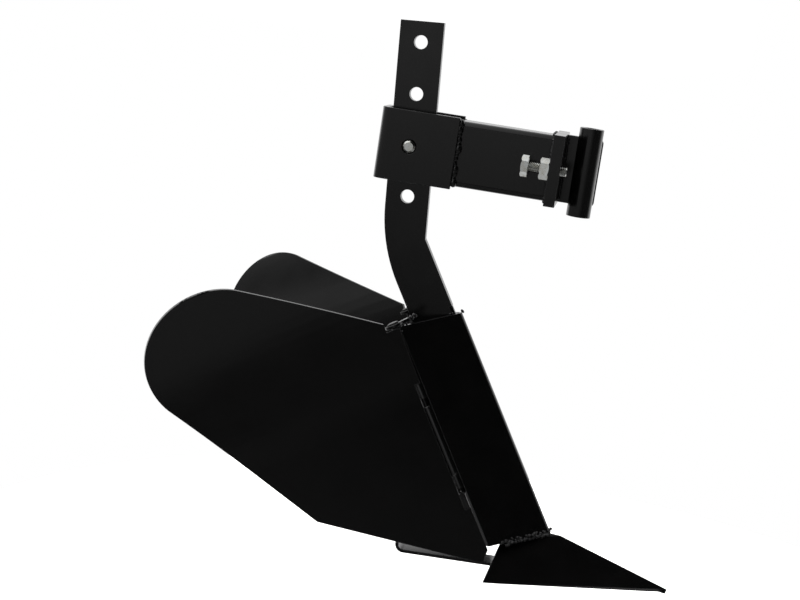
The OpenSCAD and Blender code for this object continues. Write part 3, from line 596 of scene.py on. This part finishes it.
footBeads = (  # mm: out from the nose's sides, up from its lower cut, and places back along that cut
    {"radius": 1.9, "out": 0.6, "up": 1.2, "back": (2, 8, 15, 21, 27, 33, 38, 42)},
    {"radius": 1.8, "out": 1.4, "up": -1.4, "back": (5, 11, 17, 22, 28, 34, 39)},
)
shankBead = {"radius": 2.2, "x": -11.4, "y": 5.9, "heights": (4, -15, -35, -55, -75, -96)}
lugEdge = {"radius": 1.7, "top": 14.8, "along": (1, 5, 9)}  # midway between the nose's roof and top
lugTop = {"radius": 2.4, "inside": 0.7, "z": 15.2, "riseShare": 0.1, "along": (9, 11.5, 14)}
lugEnd = {"radius": 1.6, "past": 0.9, "inside": 1.1, "heights": (12.6, 9.5)}
barrelBead = {"radius": 1.5, "x": -58.0, "y": 43.6, "heights": (-68, -96, -124), "along": (-5, 0, 5)}
cornerBead = {"radius": 2.0, "z": 0.8, "along": (-6, -3.5, -1.5)}
ridgerRipple = {"pitch": 2.9, "jitter": 0.7}
footRipple = {"pitch": 2.2, "jitter": 1.1}
ridgerPaths, footPaths = [], []
half = nose["half"]
for sideName, side in sides:
    for weld in footBeads:
        points = [inNose(-t, side * (t + weld["out"]), noseFloor(-t) + weld["up"]) for t in weld["back"]]
        footPaths.append((weld["radius"], points))
    weld = shankBead
    ridgerPaths.append((weld["radius"], [inNose(weld["x"], side * weld["y"], z) for z in weld["heights"]]))
    weld = lugEdge
    points = [inNose(t - half, side * (half - t), (noseRoof(t - half) + weld["top"]) / 2)
              for t in weld["along"]]
    ridgerPaths.append((weld["radius"], points))
    weld = lugTop
    inside = half - weld["inside"]
    points = [inNose(t - half, side * (inside - t), weld["z"] + weld["riseShare"] * t)
              for t in weld["along"]]
    ridgerPaths.append((weld["radius"], points))
    weld = lugEnd
    points = [inNose(-half - weld["past"], side * (half - weld["inside"]), z) for z in weld["heights"]]
    ridgerPaths.append((weld["radius"], points))
    weld = barrelBead
    for z in weld["heights"]:
        points = [inNose(weld["x"], side * weld["y"], z + t) for t in weld["along"]]
        ridgerPaths.append((weld["radius"], points))
weld = cornerBead
ridgerPaths.append((weld["radius"], [inNose(x, 0, weld["z"]) for x in weld["along"]]))
layBeads("ridger_weld_bead", "ridger", ridgerPaths, seed=14, **ridgerRipple)
layBeads("foot_weld_bead", "ridger", footPaths, seed=15, **footRipple)

# wings: hinge eyes and stays, degrees and mm from the hinge line
wing = {"angle": 21.0, "inner": 3.667, "eyes": ((-40.3, -54.6), (-129.9, -143.2))}
stay = {"thick": 4.0, "low": {"right": -139.7, "left": -135.4}}
eyeBead = {"radius": 1.5, "short": 1.5, "plan": ((5.0, 3.0), (3.3, 5.3))}
stayBead = {"radius": 1.8, "sunk": 0.4, "off": 0.2, "along": (15, 25, 35, 45, 55, 61)}
for sideName, side in sides:
    opened = Matrix.Rotation(math.radians(180 + wing["angle"]), 4, "Z")
    mirrored = Matrix.Scale(-side, 4, (0, 1, 0))
    wingFrame = noseFrame @ mirrored @ shift(hinge["x"], -hinge["y"], 0) @ opened
    weld = eyeBead
    paths = []
    for top, low in wing["eyes"]:
        heights = (top - weld["short"], (top + low) / 2, low + weld["short"])
        paths += [(weld["radius"], [wingFrame @ at(x, y, z) for z in heights]) for x, y in weld["plan"]]
    weld = stayBead
    low = stay["low"][sideName]  # the right stay lies under the left one, so each is welded on its free face
    z = low - weld["off"] if sideName == "right" else low + stay["thick"] + weld["off"]
    y = wing["inner"] - weld["sunk"]
    paths.append((weld["radius"], [wingFrame @ at(x, y, z) for x in weld["along"]]))
    layBeads("wing_weld_bead_" + sideName, sideName + "_wing", paths, seed=20 + side)
print("weld beads laid")

# Matt white laminate on the table, lit from within so that it stays as white as the backdrop
table = {
    "ground": -430.4, "reach": 560.0, "cloud": 125.0,  # mm
    "corners": 72, "pale": "#f4f4f2", "white": "#f6f6f5", "rough": 0.9, "glow": 0.45,
}
turns = [2 * math.pi * k / table["corners"] for k in range(table["corners"])]
floorMesh = bpy.data.meshes.new("floor")
floorMesh.from_pydata([onCircle(table["reach"], turn, table["ground"]) for turn in turns], [],
                      [list(range(table["corners"]))])
floor = newObject("floor", floorMesh)
floorPaint, tree = newMaterial("lit_white_table")
place = put(tree, "ShaderNodeTexCoord").outputs["Object"]
dust = put(tree, "ShaderNodeTexNoise", {"Vector": place, "Scale": 1 / (table["cloud"] * mm), "Detail": 3.0})
shade = put(tree, "ShaderNodeMix", {
    "Factor": dust.outputs["Fac"], "A": linear(table["pale"]), "B": linear(table["white"])},
    data_type="RGBA")
matte = put(tree, "ShaderNodeBsdfPrincipled", {
    "Base Color": shade.outputs["Result"], "Roughness": table["rough"], "Specular IOR Level": 0.0,
    "Emission Color": (1, 1, 1, 1), "Emission Strength": table["glow"]})
put(tree, "ShaderNodeOutputMaterial", {"Surface": matte.outputs["BSDF"]})
floorMesh.materials.append(floorPaint)
floor.visible_glossy = False  # the paint mirrors the studio's softer table instead

# what the paint mirrors, by direction; the camera itself sees plain white
studio = {  # the ramps that are multiplied for each surface: axis, start, end, brightness at start and end
    "backdrop": (("Y", 0.1, 0.55, 0.0, 1.0), ("Z", 1.0, 0.7, 0.0, 1.0), ("aside", 0.35, 0.75, 1.0, 2.2)),
    "dimRoom": (("Z", 0.2, 0.06, 0.01, 0.14),),
    "lowWall": (("Z", -0.14, 0.0, 0.18, 1.1), ("Z", 0.2, 0.04, 0.0, 1.0), ("X", 0.5, 0.0, 0.17, 1.0)),
    "tableBelow": (("Z", -0.31, -0.41, 0.0, 0.4),),
    "ceilingLeft": (("X", 0.05, -0.12, 0.0, 2.2), ("Z", 0.12, 0.5, 0.0, 1.0)),
}
world = bpy.data.worlds.new("studio")
bpy.context.scene.world = world
world.use_nodes = True
tree = world.node_tree
tree.nodes.clear()
way = put(tree, "ShaderNodeSeparateXYZ", {"Vector": put(tree, "ShaderNodeTexCoord").outputs["Generated"]})
axes = {axis: way.outputs[axis] for axis in "XYZ"}
axes["aside"] = put(tree, "ShaderNodeMath", {0: axes["X"]}, operation="ABSOLUTE").outputs[0]
brightest = put(tree, "ShaderNodeLightPath").outputs["Is Camera Ray"]
for ramps in studio.values():
    glow = 1.0
    for axis, start, end, atStart, atEnd in ramps:
        ramp = put(tree, "ShaderNodeMapRange", {
            "Value": axes[axis], "From Min": start, "From Max": end, "To Min": atStart, "To Max": atEnd})
        product = put(tree, "ShaderNodeMath", {0: glow, 1: ramp.outputs["Result"]}, operation="MULTIPLY")
        glow = product.outputs[0]
    brightest = put(tree, "ShaderNodeMath", {0: brightest, 1: glow}, operation="MAXIMUM").outputs[0]
sky = put(tree, "ShaderNodeBackground", {"Color": (1, 1, 1, 1), "Strength": brightest})
put(tree, "ShaderNodeOutputWorld", {"Surface": sky.outputs["Background"]})

lamp = {"at": (0.0, 0.0, 3.4), "aim": (-0.05, 0.0, -0.2), "size": 8.0, "power": 470.0}  # metres and watts
light = bpy.data.lights.new("overhead", "AREA")
light.shape = "SQUARE"
light.size = lamp["size"]
light.energy = lamp["power"]
overhead = newObject("overhead", light)
overhead.location = lamp["at"]
aim = Vector(lamp["aim"]) - Vector(lamp["at"])
overhead.rotation_euler = aim.to_track_quat("-Z", "Y").to_euler()
overhead.visible_glossy = False

view = {  # degrees and mm
    "azimuth": 6.64, "elevation": 8.96, "roll": 8.62, "at": (40.7, -1637.7, 116.0),
    "lens": 80.7, "sensor": 36.0, "near": 10.0,
}
azimuth, elevation, roll = [math.radians(view[key]) for key in ("azimuth", "elevation", "roll")]
back = Vector((math.sin(azimuth) * math.cos(elevation), -math.cos(azimuth) * math.cos(elevation),
               math.sin(elevation)))
across = (-back).cross(Vector((0, 0, 1))).normalized()
upward = across.cross(-back)
lensX = across * math.cos(roll) + upward * math.sin(roll)
lensY = upward * math.cos(roll) - across * math.sin(roll)
camera = newObject("camera", bpy.data.cameras.new("camera"))
camera.data.lens = view["lens"]
camera.data.sensor_width = view["sensor"]
camera.data.clip_start = view["near"] * mm
camera.matrix_world = shift(*view["at"]) @ Matrix((lensX, lensY, back)).transposed().to_4x4()
bpy.context.scene.camera = camera
bpy.context.scene.view_settings.view_transform = "Standard"
print("stage set")
